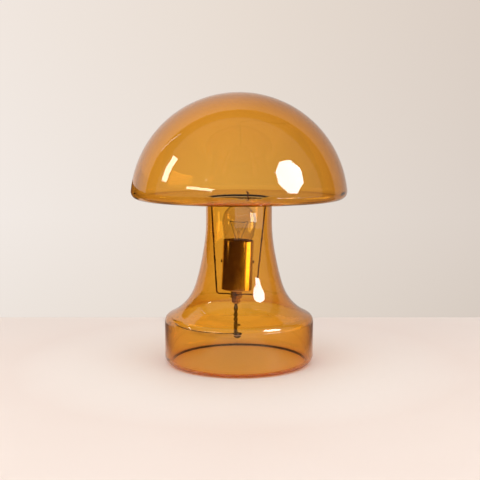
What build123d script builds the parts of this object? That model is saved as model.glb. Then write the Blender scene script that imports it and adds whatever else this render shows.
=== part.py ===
from build123d import *
import math
import os

# A mushroom table lamp in clear amber glass. A domed shade with a flat underside
# rests on a bell-shaped base whose neck holds a lampholder. The lampholder hangs
# in the neck from a bent wire, and the flex leaves through the back of the base.
# Millimetres, +Z up. The origin is the centre of the base's rim, on the table.

os.makedirs("parts", exist_ok=True)

# ---------------------------------------------------------------- dimensions
GAP = 0.05  # between pieces that only touch

# Base glass
base_wall = 3.2
drum_r = 104.0
drum_top = 58.0  # where the straight drum wall ends
foot_turn_r = 11.2  # the wall turns in under the drum
foot_cut = 0.2  # ground off the turned-in edge, so that it stands flat
shoulder_end = (97.6, 68.0)
flare = [(80.0, 79.5), (66.2, 97.0), (57.7, 120.0), (51.7, 146.0), (47.4, 172.0)]
neck_r = 45.8
neck_start = 200.0
neck_top = 226.2

# Shade glass
shade_r = 150.0
shade_centre_z = 225.0
shade_wall = 3.0
shade_under = 229.0
shade_corner_r = 11.0
shade_hole_r = 40.5
rim_round = 0.9  # fire-polished edges of both glasses

# Seat ring between the two glasses
seat_in_r = 42.9
seat_notch_w = 2.8
seat_notch_h = 2.35

# Hole and grommet for the flex, in the back of the drum
hole_x = -2.6
hole_z = 17.0
hole_d = 10.0
grommet_flange_d = 14.0
grommet_face_y = 107.5
grommet_round = 0.9
cord_d = 5.8
cord_fit = 0.1  # round the flex, in each bore

# Hanger wire
wire_d = 2.2
hook_r = 47.25  # to the middle of the wire outside the neck
hook_drop = 5.0
hook_bend_r = 2.6
ring_r = 37.5
ring_gap_deg = 5.0  # where the ring's two ends meet
pigtail_azimuth = -71.0  # front right
pigtail_rise = 13.5
pigtail_bend_r = 3.0
pigtail_curl_r = 2.6
finger_d = 1.9  # the ring's rear finger, which hooks over the neck
leg_top_left = -38.6
leg_top_right = 37.6
foot_half = 27.3
foot_bend_r = 4.0
loop_start = 10.0  # the foot bends round the front of the nipple
loop_half = 6.0
loop_front = 6.25
loop_bend_r = 4.0

# The lampholder hangs a little out of plumb: its top leans to the right.
# Heights h on its own axis are the same as z at the pivot.
tilt_deg = 2.2
pivot_h = 194.0

sleeve_r = 21.6
sleeve_wall = 0.8
sleeve_bottom = 101.5
sleeve_floor = 1.2
sleeve_top = 170.7
sleeve_screw_h = 141.0

nipple_r = 5.0
nipple_bore_r = 3.6
nipple_bottom = 84.2
nipple_top = 108.0
nut_flats = 16.0
eye_h = 94.7
lower_nut_h = (89.3, eye_h - wire_d / 2)
upper_nut_h = (eye_h + wire_d / 2, sleeve_bottom)
nut_chamfer = 0.6
grip_r = 6.0
grip_bottom = 80.5
grip_mouth_r = 4.4
grip_cone = 2.6
grip_screw_h = 82.5
grip_screw_r = 0.95

sleeve_hole_r = 1.6
sleeve_edge_round = 1.0
sleeve_screw_r = 1.45
sleeve_screw_head_r = 2.3
sleeve_screw_head_h = 1.5

holder_cup_r = 20.4
holder_cup_h = (sleeve_bottom + sleeve_floor, 116.0)
holder_cup_wall = 2.4
holder_cup_floor = 4.0
block_r = 19.4
block_h = (116.0, 127.0)
block_slot = (7.0, 5.0)  # where the centre contact's foot goes down
terminal_x = 9.5
terminal_hole_r = 1.75
terminal_hole_depth = 8.0
terminal_screw_r = 1.7
terminal_screw_length = 7.0
terminal_head_r = 3.1
terminal_head_h = 2.4
core_r = 0.9  # each bared lead, with its own insulation
skirt_r = 19.4
skirt_bore_r = 14.1
skirt_h = (127.0, 157.0)
skirt_hole_r = 1.5
shell_r = 13.95
shell_wall = 0.5
shell_h = (131.0, 153.0)
shell_lip = 3.0  # the shell's floor and the skirt's step under it turn in this far
spring_w = 4.4  # centre contact
spring_t = 0.8

# Bulb
bulb_r = 23.4
bulb_centre_h = 198.1
bulb_wall = 0.8
bulb_neck_r = 11.6
bulb_neck_h = (147.0, 155.0)
bulb_flare = [(17.4, 168.5), (21.3, 179.6)]
cap_r = 12.4
cap_thread_r = 13.05
cap_wall = 0.7
cap_turn_in = 2.0
cap_h = (134.0, 155.0)
cap_ridges = 4
thread_pitch = 3.629
insulator_r = 4.9
tip_h = (129.1, 130.4)
tip_r = 4.6
filament_h = 197.5
filament_r = 12.5
filament_deg = (190, 350)  # the open side faces the back
filament_wire_r = 0.45
support_wire_r = 0.25
support_degs = (230, 270, 310)
stem_exit_h = 171.0
stem_button_h = 182.6

# Flex on the table: route of each stretch, one point after another
inner_route_top_h = (88.0, 70.0)  # on the lampholder's axis
inner_route = [
    (-5.0, 10.0, 52.5), (-4.9, 29.0, 38.5), (-4.6, 51.0, 28.5), (-3.8, 74.0, 20.5),
    (hole_x, 91.0, hole_z), (hole_x, grommet_face_y, hole_z),
]
lead_route = [
    (hole_x, grommet_face_y, hole_z), (hole_x, 120.5, hole_z), (-7.5, 134.5, 10.5),
    (-18, 148.5, 3.6), (-38.5, 164, 3), (-66.5, 180.5, 3), (-90, 204, 3),
    (-108.5, 235.5, 3), (-120.5, 276, 3), (-125, 320, 3), (-116, 356, 3),
    (-93, 378, 3), (-67, 385, 6.4), (-50, 386, 9), (-33, 386, 9),
]
middle_route = [
    (27, 386, 9), (47, 386, 9), (64, 392.5, 6), (80, 400, 3.7), (96, 400, 3.7),
]
tail_route = [
    (96, 316, 10.2), (80, 316, 10.2), (63, 322, 8.2), (46, 328, 7), (30, 328, 7),
]

# Coil of the put-away length
coil_centre = (102.0, 358.0)
coil_in_r = 24.4
coil_pitch = 6.4
coil_quarters = 11  # quarter turns in each of its two layers
coil_low = 3.7
coil_layer = 6.5
tie_wall = 0.7
tie_w = 9.0
tie_corner_r = 3.2
tie_room = 0.4  # between the tie and the coil's sides
tie_headroom = 0.15

# In-line switch
switch_x = (-38.0, 32.0)
switch_y = 386.0
switch_w = 27.0
switch_h = 18.0
switch_wall = 2.0
switch_corner_r = 9.0
switch_top_round = 5.0
switch_foot_round = 2.0
switch_screw_from_mid = (24.0, 7.5)
screw_boss_r = 3.0
switch_screw_r = 1.15
switch_screw_head_r = 2.5
switch_screw_low = 0.6
switch_screw_head_h = 1.7
switch_screw_length = 11.0
rocker_l = 21.0
rocker_w = 11.0
rocker_gap = 0.4
rocker_pivot_z = 13.0
rocker_pin_r = 1.25
rocker_throw_deg = 14.0
contact_z = 4.2

# Plug
plug_y = 328.0
plug_z = 7.0
plug_relief_x = (30.0, 6.0)
plug_body_x = (6.0, -30.0)
plug_w = 35.0
plug_h = 14.0
plug_shoulder = 16.0
plug_neck_w = 22.0
plug_neck_h = 12.0
plug_corner_r = 5.2
plug_edge_round = 1.2
relief_r = (5.6, 3.6)
relief_rings = 5
relief_pitch = 4.0
pin_spacing = 18.6
pin_r = 2.0
pin_length = 19.0
pin_inside = 9.5

# ---------------------------------------------------------------- planes
tilt = math.radians(tilt_deg)
holder_out = Vector(math.cos(tilt), 0, -math.sin(tilt))
holder_up = Vector(math.sin(tilt), 0, math.cos(tilt))
holder_foot = Vector(0, 0, pivot_h) - holder_up * pivot_h
holder_axis = Axis(holder_foot, holder_up)
holder_section = Plane(origin=holder_foot, x_dir=holder_out, z_dir=(0, -1, 0))


def holder_plane(h):
    """The plane across the lampholder's axis at height h."""
    return Plane(origin=holder_foot + holder_up * h, x_dir=holder_out, z_dir=holder_up)


def holder_point(x, y, h):
    """A point given in the lampholder's own frame."""
    return holder_foot + holder_out * x + Vector(0, y, 0) + holder_up * h


def side_planes(h):
    """The two planes that look out of the lampholder's right and left at height h."""
    origin = holder_point(0, 0, h)
    return [Plane(origin=origin, z_dir=holder_out), Plane(origin=origin, z_dir=-holder_out)]


# ---------------------------------------------------------------- helpers
def turned(*outline):
    """A piece turned on the lampholder's axis from a half outline of (r, h) points."""
    with BuildPart() as piece:
        with BuildSketch(holder_section):
            with BuildLine():
                Polyline(*outline, close=True)
            make_face()
        revolve(axis=holder_axis)
    return piece


def smooth(points, headings):
    """A spline through the points, with the given heading at each end."""
    return Spline(*points, tangents=headings, tangent_scalars=(1, 1))


def set_in(curve, wall, count=9):
    """Points one wall thickness nearer the axis than a curve that heads upwards."""
    points = []
    for number in range(count):
        along = number / (count - 1)
        heading = curve % along
        points.append(curve @ along + Vector(-heading.Y, heading.X) * wall)
    return points


def arc_radii(route):
    """The largest arc that the two runs at each corner allow."""
    points = [Vector(*point) for point in route]
    runs = [b - a for a, b in zip(points, points[1:])]
    radii = []
    for before, after in zip(runs, runs[1:]):
        turn = math.radians(before.get_angle(after))
        radii.append(0.45 * min(before.length, after.length) / math.tan(turn / 2))
    return radii


def flex(name, route):
    """A stretch of flex: straight runs joined by tangent arcs."""
    radii = arc_radii(route)
    with BuildPart() as stretch:
        with BuildLine() as path:
            FilletPolyline(*route, radius=radii)
        line = path.wires()[0]
        with BuildSketch(Plane(origin=line @ 0, z_dir=line % 0)):
            Circle(cord_d / 2)
        sweep(path=line)
    expected = math.pi * (cord_d / 2) ** 2 * line.length
    print(
        f"{name}: {line.length:.1f} mm, arcs from {min(radii):.1f} mm,",
        f"volume {stretch.part.volume / expected:.4f} of the expected",
    )
    return stretch


def wire(*points, radius):
    """Bent wire through the points, with one radius for each corner."""
    with BuildPart() as bent:
        with BuildLine() as path:
            FilletPolyline(*points, radius=radius)
        line = path.wires()[0]
        with BuildSketch(Plane(origin=line @ 0, z_dir=line % 0)):
            Circle(wire_d / 2)
        sweep(path=line)
    return bent


# ---------------------------------------------------------------- base glass
with BuildPart() as base_glass:
    with BuildSketch(Plane.XZ):
        with BuildLine():
            turn_top = (drum_r, foot_turn_r - foot_cut)
            turn_end = (drum_r - foot_turn_r, -foot_cut)
            inner_turn_top = (drum_r - base_wall, foot_turn_r - foot_cut)
            inner_turn_end = (drum_r - foot_turn_r, base_wall - foot_cut)
            TangentArc(turn_top, turn_end, tangent=(0, -1))
            TangentArc(inner_turn_top, inner_turn_end, tangent=(0, -1))
            Line(turn_end, inner_turn_end)
            Line(turn_top, (drum_r, drum_top))
            Line(inner_turn_top, (drum_r - base_wall, drum_top))
            shoulder = TangentArc((drum_r, drum_top), shoulder_end, tangent=(0, 1))
            outer_flare = smooth(
                [shoulder_end, *flare, (neck_r, neck_start)], [shoulder % 1, (0, 1)]
            )
            inner_flare = smooth(set_in(outer_flare, base_wall), [shoulder % 1, (0, 1)])
            TangentArc((drum_r - base_wall, drum_top), inner_flare @ 0, tangent=(0, 1))
            Polyline(
                (neck_r, neck_start), (neck_r, neck_top),
                (neck_r - base_wall, neck_top), inner_flare @ 1,
            )
        make_face()
    revolve(axis=Axis.Z)
    split(bisect_by=Plane.XY, keep=Keep.TOP)
    fillet(base_glass.edges().group_by(Axis.Z)[-1], rim_round)
    with BuildSketch(Plane(origin=(hole_x, 0, hole_z), z_dir=(0, 1, 0))):
        Circle(hole_d / 2)
    extrude(amount=drum_r + base_wall, mode=Mode.SUBTRACT)

# ---------------------------------------------------------------- shade glass
corner_out = math.sqrt(
    (shade_r - shade_corner_r) ** 2
    - (shade_under + shade_corner_r - shade_centre_z) ** 2
)
corner_z = shade_under + shade_corner_r
corner_deg = math.degrees(math.atan2(corner_z - shade_centre_z, corner_out))
with BuildPart() as shade_glass:
    with BuildSketch(Plane.XZ):
        with BuildLine():
            CenterArc((0, shade_centre_z), shade_r, corner_deg, 90 - corner_deg)
            CenterArc((corner_out, corner_z), shade_corner_r, -90, 90 + corner_deg)
            Line((shade_hole_r, shade_under), (corner_out, shade_under))
            offset(amount=shade_wall, side=Side.LEFT)
        make_face()
    revolve(axis=Axis.Z)
    hole_edges = shade_glass.edges().filter_by(
        lambda e: e.geom_type == GeomType.CIRCLE and abs(e.radius - shade_hole_r) < 0.01
    )
    fillet(hole_edges, rim_round)

# ---------------------------------------------------------------- seat ring
with BuildPart() as rim_gasket:
    with BuildSketch(Plane.XY.offset(neck_top)):
        Circle(neck_r)
        Circle(seat_in_r, mode=Mode.SUBTRACT)
    extrude(amount=shade_under - neck_top)
    with BuildSketch(Plane.XY.offset(neck_top)):
        for azimuth in (0, 90, 180):
            with PolarLocations(neck_r, 1, start_angle=azimuth):
                Rectangle(3 * base_wall, seat_notch_w)
    extrude(amount=seat_notch_h, mode=Mode.SUBTRACT)

# ---------------------------------------------------------------- grommet
grommet_plane = Plane(origin=(hole_x, 0, hole_z), x_dir=(1, 0, 0), z_dir=(0, 1, 0))
wall_back = math.sqrt(drum_r**2 - hole_x**2) + GAP
flange_reach = abs(hole_x) + grommet_flange_d / 2
wall_front = math.sqrt((drum_r - base_wall) ** 2 - flange_reach**2)
flange_front = wall_front - (grommet_face_y - wall_back)
with BuildPart() as cord_grommet:
    with BuildSketch(grommet_plane.offset(flange_front)):
        Circle(hole_d / 2 - cord_fit)
    extrude(amount=grommet_face_y - flange_front)
    with BuildSketch(grommet_plane.offset(flange_front), grommet_plane.offset(wall_back)):
        Circle(grommet_flange_d / 2)
    extrude(amount=grommet_face_y - wall_back)
    outer_edges = cord_grommet.edges().group_by(Axis.Y)
    fillet(outer_edges[0] + outer_edges[-1], grommet_round)
    with BuildSketch(grommet_plane.offset(flange_front)):
        Circle(cord_d / 2 + cord_fit)
    extrude(amount=grommet_face_y - flange_front, mode=Mode.SUBTRACT)

# ---------------------------------------------------------------- hanger
wire_z = neck_top + wire_d / 2 + GAP
left_hook = [
    (-hook_r, 0, wire_z - hook_drop), (-hook_r, 0, wire_z), (leg_top_left, 0, wire_z),
]
right_hook = [
    (leg_top_right, 0, wire_z), (hook_r, 0, wire_z), (hook_r, 0, wire_z - hook_drop),
]
foot = [
    tuple(holder_point(x, y, eye_h))
    for x, y in (
        (-foot_half, 0), (-loop_start, 0), (-loop_half, -loop_front),
        (loop_half, -loop_front), (loop_start, 0), (foot_half, 0),
    )
]
hanger_yoke = wire(
    *left_hook, *foot, *right_hook,
    radius=[
        hook_bend_r, hook_bend_r, foot_bend_r, loop_bend_r, loop_bend_r,
        loop_bend_r, loop_bend_r, foot_bend_r, hook_bend_r, hook_bend_r,
    ],
)

bend_deg = math.degrees(pigtail_bend_r / ring_r)
ring_start_deg = pigtail_azimuth + ring_gap_deg
with BuildPart() as hanger_ring:
    with BuildLine() as ring_path:
        ring_arc = CenterArc(
            (0, 0, wire_z), ring_r, ring_start_deg, 360 - ring_gap_deg - bend_deg
        )
        heading = ring_arc % 1
        upright = ring_arc @ 1 + heading * pigtail_bend_r + Vector(0, 0, pigtail_bend_r)
        top = upright + Vector(0, 0, pigtail_rise - pigtail_bend_r - pigtail_curl_r)
        TangentArc(ring_arc @ 1, upright, tangent=heading)
        Line(upright, top)
        curl = heading * -pigtail_curl_r + Vector(0, 0, pigtail_curl_r)
        TangentArc(top, top + curl, tangent=(0, 0, 1))
    ring_line = ring_path.wires()[0]
    with BuildSketch(Plane(origin=ring_line @ 0, z_dir=ring_line % 0)):
        Circle(wire_d / 2)
    sweep(path=ring_line)
    with BuildLine() as finger_path:
        FilletPolyline(
            (0, ring_r, wire_z), (0, hook_r, wire_z), (0, hook_r, wire_z - hook_drop),
            radius=hook_bend_r,
        )
    finger_line = finger_path.wires()[0]
    with BuildSketch(Plane(origin=finger_line @ 0, z_dir=finger_line % 0)):
        Circle(finger_d / 2)
    sweep(path=finger_line)

# ---------------------------------------------------------------- lampholder
with BuildPart() as holder_sleeve:
    with BuildSketch(holder_section):
        with BuildLine():
            Polyline(
                (nipple_r + GAP, sleeve_bottom), (sleeve_r, sleeve_bottom),
                (sleeve_r, sleeve_top), (sleeve_r - sleeve_wall, sleeve_top),
                (sleeve_r - sleeve_wall, sleeve_bottom + sleeve_floor),
                (nipple_r + GAP, sleeve_bottom + sleeve_floor),
                close=True,
            )
        make_face()
    revolve(axis=holder_axis)
    fillet(
        holder_sleeve.edges()
        .filter_by(lambda e: e.geom_type == GeomType.CIRCLE and e.radius > sleeve_r - GAP)
        .sort_by(Axis.Z)[0],
        sleeve_edge_round,
    )
    for side_plane in side_planes(sleeve_screw_h):
        with BuildSketch(side_plane):
            Circle(sleeve_hole_r)
        extrude(amount=sleeve_r + sleeve_wall, mode=Mode.SUBTRACT)

cup_in_r = holder_cup_r - holder_cup_wall
cup_floor_h = holder_cup_h[0] + holder_cup_floor
holder_cup = turned(
    (nipple_r + GAP, holder_cup_h[0]), (holder_cup_r, holder_cup_h[0]),
    (holder_cup_r, holder_cup_h[1]), (cup_in_r, holder_cup_h[1]),
    (cup_in_r, cup_floor_h), (nipple_r + GAP, cup_floor_h),
)

terminal_spots = [(-terminal_x, 0.0), (terminal_x, 0.0)]
with BuildPart() as contact_block:
    with BuildSketch(holder_plane(block_h[0])):
        Circle(block_r)
        Rectangle(*block_slot, mode=Mode.SUBTRACT)
        with Locations(*terminal_spots):
            Circle(terminal_hole_r, mode=Mode.SUBTRACT)
    extrude(amount=terminal_hole_depth)
    with BuildSketch(holder_plane(block_h[0] + terminal_hole_depth)):
        Circle(block_r)
        Rectangle(*block_slot, mode=Mode.SUBTRACT)
    extrude(amount=block_h[1] - block_h[0] - terminal_hole_depth)

with BuildPart() as terminal_screws:
    with BuildSketch(holder_plane(block_h[0])):
        with Locations(*terminal_spots):
            Circle(terminal_screw_r)
    extrude(amount=terminal_screw_length)
    with BuildSketch(holder_plane(block_h[0])):
        with Locations(*terminal_spots):
            Circle(terminal_head_r)
    extrude(amount=-terminal_head_h)
    with BuildSketch(holder_plane(block_h[0] - terminal_head_h)):
        with Locations(*terminal_spots):
            Rectangle(3 * terminal_head_r, terminal_head_h / 3)
    extrude(amount=terminal_head_h / 2, mode=Mode.SUBTRACT)

with BuildPart() as holder_skirt:
    with BuildSketch(holder_section):
        with BuildLine():
            Polyline(
                (shell_r - shell_lip, skirt_h[0]), (skirt_r, skirt_h[0]),
                (skirt_r, skirt_h[1]), (skirt_bore_r, skirt_h[1]),
                (skirt_bore_r, shell_h[0]), (shell_r - shell_lip, shell_h[0]),
                close=True,
            )
        make_face()
    revolve(axis=holder_axis)
    for side_plane in side_planes(sleeve_screw_h):
        with BuildSketch(side_plane):
            Circle(skirt_hole_r)
        extrude(amount=sleeve_r, mode=Mode.SUBTRACT)

with BuildPart() as sleeve_screws:
    for side_plane in side_planes(sleeve_screw_h):
        with BuildSketch(side_plane.offset(skirt_bore_r + 1)):
            Circle(sleeve_screw_r)
        extrude(amount=sleeve_r - skirt_bore_r - 1 + GAP)
        with BuildSketch(side_plane.offset(sleeve_r + GAP)):
            Circle(sleeve_screw_head_r)
        extrude(amount=sleeve_screw_head_h, taper=18)

shell_floor = shell_h[0] + GAP
screw_shell = turned(
    (shell_r - shell_lip, shell_floor), (shell_r, shell_floor),
    (shell_r, shell_h[1]), (shell_r - shell_wall, shell_h[1]),
    (shell_r - shell_wall, shell_floor + shell_wall),
    (shell_r - shell_lip, shell_floor + shell_wall),
)

with BuildPart() as centre_contact:
    with BuildSketch(holder_section):
        with BuildLine():
            FilletPolyline(
                (-2.4, block_h[1] - 6), (-2.4, block_h[1] + 1.3), (5.2, block_h[1] + 1.6),
                radius=spring_t,
            )
            offset(amount=spring_t / 2)
        make_face()
    extrude(amount=spring_w / 2, both=True)

threaded_nipple = turned(
    (nipple_bore_r, nipple_bottom), (nipple_r, nipple_bottom),
    (nipple_r, nipple_top), (nipple_bore_r, nipple_top),
)


def hex_nut(h_low, h_high):
    """A hexagon nut on the nipple, chamfered top and bottom."""
    with BuildPart() as nut:
        with BuildSketch(holder_plane(h_low)):
            RegularPolygon(nut_flats / 2, 6, major_radius=False, rotation=30)
            Circle(nipple_r + GAP, mode=Mode.SUBTRACT)
        extrude(amount=h_high - h_low)
        corner_r = nut_flats / 2 / math.cos(math.pi / 6)
        with BuildSketch(holder_section):
            with BuildLine():
                Polyline(
                    (nipple_r, h_low), (nut_flats / 2, h_low),
                    (corner_r, h_low + nut_chamfer), (corner_r, h_high - nut_chamfer),
                    (nut_flats / 2, h_high), (nipple_r, h_high), close=True,
                )
            make_face()
        revolve(axis=holder_axis, mode=Mode.INTERSECT)
    return nut


upper_lock_nut = hex_nut(*upper_nut_h)
lower_lock_nut = hex_nut(*lower_nut_h)

grip_top = lower_nut_h[0]
grip_bore_r = cord_d / 2 + cord_fit
grip_screw_plane = Plane(origin=holder_point(0, 0, grip_screw_h), z_dir=(0, -1, 0))
with BuildPart() as cord_grip:
    with BuildSketch(holder_section):
        with BuildLine():
            Polyline(
                (grip_bore_r, grip_bottom), (grip_mouth_r, grip_bottom),
                (grip_r, grip_bottom + grip_cone), (grip_r, grip_top),
                (nipple_r + GAP, grip_top), (nipple_r + GAP, nipple_bottom - GAP),
                (grip_bore_r, nipple_bottom - GAP), close=True,
            )
        make_face()
    revolve(axis=holder_axis)
    with BuildSketch(grip_screw_plane):
        Circle(grip_screw_r + GAP)
    extrude(amount=2 * grip_r, mode=Mode.SUBTRACT)

with BuildPart() as grip_screw:
    with BuildSketch(grip_screw_plane.offset(grip_bore_r)):
        Circle(grip_screw_r)
    extrude(amount=grip_r + grip_screw_r - grip_bore_r)

with BuildPart() as lead_wires:
    for x, _ in terminal_spots:
        lean = math.copysign(1, x)
        with BuildLine() as core_path:
            FilletPolyline(
                holder_point(lean * 1.2, 0, inner_route_top_h[0] + GAP),
                holder_point(lean * 1.4, 0, nipple_top + 1),
                holder_point(x - lean * 2.4, 0, block_h[0] - 3.4),
                holder_point(x + lean * 1.0, 0, block_h[0] - 3.4),
                radius=[2.0, 1.5],
            )
        core = core_path.wires()[0]
        with BuildSketch(Plane(origin=core @ 0, z_dir=core % 0)):
            Circle(core_r)
        sweep(path=core)

# ---------------------------------------------------------------- bulb
with BuildPart() as bulb_glass:
    with BuildSketch(holder_section):
        with BuildLine():
            outer_body = smooth(
                [(bulb_neck_r, bulb_neck_h[1]), *bulb_flare, (bulb_r, bulb_centre_h)],
                [(0, 1), (0, 1)],
            )
            inner_body = smooth(set_in(outer_body, bulb_wall), [(0, 1), (0, 1)])
            CenterArc((0, bulb_centre_h), bulb_r, 0, 90)
            CenterArc((0, bulb_centre_h), bulb_r - bulb_wall, 0, 90)
            Line((0, bulb_centre_h + bulb_r), (0, bulb_centre_h + bulb_r - bulb_wall))
            Polyline(
                outer_body @ 0, (bulb_neck_r, bulb_neck_h[0]),
                (bulb_neck_r - bulb_wall, bulb_neck_h[0]), inner_body @ 0,
            )
        make_face()
    revolve(axis=holder_axis)

cap_corner_h = cap_h[0] + 0.6 * cap_turn_in
first_ridge_h = cap_corner_h + cap_turn_in - cap_wall
with BuildPart() as bulb_cap:
    with BuildSketch(holder_section):
        with BuildLine():
            Polyline(
                (cap_r - cap_turn_in, cap_h[0]), (cap_r, cap_corner_h), (cap_r, cap_h[1]),
                (cap_r - cap_wall, cap_h[1]), (cap_r - cap_wall, cap_corner_h + GAP),
                (cap_r - cap_turn_in, cap_h[0] + cap_wall), close=True,
            )
        make_face()
        with Locations(*[
            (cap_r, first_ridge_h + thread_pitch * ridge) for ridge in range(cap_ridges)
        ]):
            Circle(cap_thread_r - cap_r)
    revolve(axis=holder_axis)

plug_r = cap_r - cap_turn_in - 2 * GAP
plug_top = cap_h[0] + 2 * cap_wall
bulb_insulator = turned(
    (0, tip_h[1]), (insulator_r, tip_h[1]), (plug_r, cap_h[0]), (plug_r, plug_top),
    (0, plug_top),
)
bulb_tip = turned(
    (0, tip_h[0]), (0.7 * tip_r, tip_h[0]), (tip_r, tip_h[0] + 0.5),
    (tip_r, tip_h[1] - GAP), (0, tip_h[1] - GAP),
)
stem_foot_r = bulb_neck_r - bulb_wall - 6 * GAP
stem = [
    (5.0, 155.0), (3.2, 162.0), (2.4, 172.0), (1.3, 174.0), (1.3, stem_button_h - 2.6),
    (2.2, stem_button_h - 1.1), (2.2, stem_button_h + 0.9), (0, stem_button_h + 1.9),
]
bulb_stem = turned(
    (0, bulb_neck_h[0] + 2), (stem_foot_r, bulb_neck_h[0]),
    (stem_foot_r, bulb_neck_h[0] + bulb_wall), *stem,
)

with BuildPart() as bulb_filament:
    with BuildSketch(holder_plane(filament_h)):
        with BuildLine():
            CenterArc((0, 0), filament_r, filament_deg[0], filament_deg[1] - filament_deg[0])
            offset(amount=filament_wire_r)
        make_face()
    extrude(amount=filament_wire_r, both=True)
    spokes = [(deg, 2.6, 0.0, stem_exit_h, filament_wire_r) for deg in filament_deg]
    spokes += [(deg, 2.0, 2.0, stem_button_h, support_wire_r) for deg in support_degs]
    for deg, root_x, root_y, root_h, spoke_r in spokes:
        out_x, out_y = math.cos(math.radians(deg)), math.sin(math.radians(deg))
        tip = holder_point(filament_r * out_x, filament_r * out_y, filament_h)
        root = holder_point(root_x * out_x, root_y * out_y, root_h)
        with BuildSketch(Plane(origin=root, z_dir=tip - root)):
            Circle(spoke_r)
        extrude(amount=(tip - root).length)

# ---------------------------------------------------------------- flex
inner_top = [holder_point(0, 0, h) for h in inner_route_top_h]
inner_cord = flex("inner_cord", [tuple(p) for p in inner_top] + inner_route)
cord_lead = flex("cord_lead", lead_route)
cord_middle = flex("cord_middle", middle_route)
cord_tail = flex("cord_tail", tail_route)

coil_end_angle = coil_quarters * math.pi / 2


def coil_point(angle):
    """A point of the coil. angle is 0 where the spiral reverses and climbs a layer."""
    azimuth = math.pi / 2 - (angle + coil_end_angle)
    r = coil_in_r + coil_pitch * abs(angle) / (2 * math.pi)
    climb = 0.5 + 0.5 * math.sin(max(-math.pi / 2, min(math.pi / 2, angle)))
    return Vector(
        coil_centre[0] + r * math.cos(azimuth),
        coil_centre[1] + r * math.sin(azimuth),
        coil_low + coil_layer * climb,
    )


def coil_heading(angle):
    """The coil's direction there. Its two ends run square to their radius."""
    if abs(abs(angle) - coil_end_angle) < 1e-6:
        return Vector(math.copysign(1, -angle), 0, 0)
    step = 0.01
    return (coil_point(angle + step) - coil_point(angle - step)).normalized()


with BuildPart() as cord_coil:
    with BuildLine() as coil_path:
        angles = [quarter * math.pi / 2 for quarter in range(-coil_quarters, coil_quarters + 1)]
        start = coil_point(angles[0])
        Line(start - coil_heading(angles[0]) * cord_d, start)
        for angle, following in zip(angles, angles[1:]):
            p0, p1 = coil_point(angle), coil_point(following)
            t0, t1 = coil_heading(angle), coil_heading(following)
            across, both = p1 - p0, t0 + t1
            lead = across.dot(both)
            spare = 4 - both.dot(both)
            reach = (math.sqrt(lead**2 + spare * across.dot(across)) - lead) / spare
            q0, q1 = p0 + t0 * reach, p1 - t1 * reach
            joint = (q0 + q1) * 0.5
            TangentArc(p0, joint, tangent=t0)
            TangentArc(joint, p1, tangent=q1 - q0)
        end = coil_point(angles[-1])
        Line(end, end + coil_heading(angles[-1]) * cord_d)
    coil_line = coil_path.wires()[0]
    with BuildSketch(Plane(origin=coil_line @ 0, z_dir=coil_line % 0)):
        Circle(cord_d / 2)
    sweep(path=coil_line)

samples = 600
spots = [coil_line @ (number / samples) for number in range(samples + 1)]
apart = int(0.5 * 2 * math.pi * coil_in_r / coil_line.length * samples)
least_gap = min(
    (spots[i] - spots[j]).length
    for i in range(0, samples)
    for j in range(i + apart, samples + 1)
) - cord_d
coil_expected = math.pi * (cord_d / 2) ** 2 * coil_line.length
print(
    f"cord_coil: {coil_line.length:.1f} mm, least gap to itself {least_gap:.2f} mm,",
    f"volume {cord_coil.part.volume / coil_expected:.4f} of the expected",
)

coil_out_r = coil_in_r + coil_pitch * coil_quarters / 4
tie_in = coil_centre[0] + coil_in_r - cord_d / 2 - tie_room
tie_out = coil_centre[0] + coil_out_r + cord_d / 2 + tie_room
tie_top = coil_low + coil_layer + cord_d / 2 + tie_headroom
with BuildPart() as coil_tie:
    with BuildSketch(Plane.XZ.offset(-coil_centre[1])):
        with Locations(((tie_in + tie_out) / 2, (tie_wall + tie_top) / 2)):
            RectangleRounded(
                tie_out - tie_in + 2 * tie_wall, tie_top + tie_wall, tie_corner_r + tie_wall
            )
            RectangleRounded(
                tie_out - tie_in, tie_top - tie_wall, tie_corner_r, mode=Mode.SUBTRACT
            )
    extrude(amount=tie_w / 2, both=True)

# ---------------------------------------------------------------- switch
switch_mid = (switch_x[0] + switch_x[1]) / 2
switch_split = switch_h / 2


def switch_blank(z_low, z_high, inset=0.0):
    """A slab of the switch's rounded outline, set in from its side wall."""
    length = switch_x[1] - switch_x[0] - 2 * inset
    with BuildSketch(Plane.XY.offset(z_low)) as outline:
        with Locations((switch_mid, switch_y)):
            RectangleRounded(length, switch_w - 2 * inset, switch_corner_r - inset)
    return extrude(outline.sketch, amount=z_high - z_low, mode=Mode.PRIVATE)


along, across = switch_screw_from_mid
screw_spots = [
    (switch_mid - along, switch_y + across), (switch_mid + along, switch_y - across),
]
cord_axis = Plane(origin=(switch_x[0], switch_y, switch_split), z_dir=(1, 0, 0))
rocker_plane = Plane(
    origin=(switch_mid, switch_y, rocker_pivot_z), x_dir=(1, 0, 0), z_dir=(0, -1, 0)
)

with BuildPart() as switch_base:
    add(switch_blank(0, switch_split - GAP))
    fillet(switch_base.edges().group_by(Axis.Z)[0], switch_foot_round)
    add(switch_blank(switch_wall, switch_split, switch_wall), mode=Mode.SUBTRACT)
    with BuildSketch(Plane.XY.offset(switch_wall)):
        with Locations(*screw_spots):
            Circle(screw_boss_r)
    extrude(amount=switch_split - GAP - switch_wall)
    with BuildSketch(cord_axis):
        Circle(cord_d / 2 + cord_fit)
    extrude(amount=switch_x[1] - switch_x[0], mode=Mode.SUBTRACT)
    with BuildSketch(Plane.XY):
        with Locations(*screw_spots):
            Circle(switch_screw_r + 5 * GAP)
    extrude(amount=switch_split, mode=Mode.SUBTRACT)
    with BuildSketch(Plane.XY):
        with Locations(*screw_spots):
            Circle(switch_screw_head_r + 4 * GAP)
    extrude(amount=switch_screw_low + switch_screw_head_h + GAP, mode=Mode.SUBTRACT)

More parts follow.
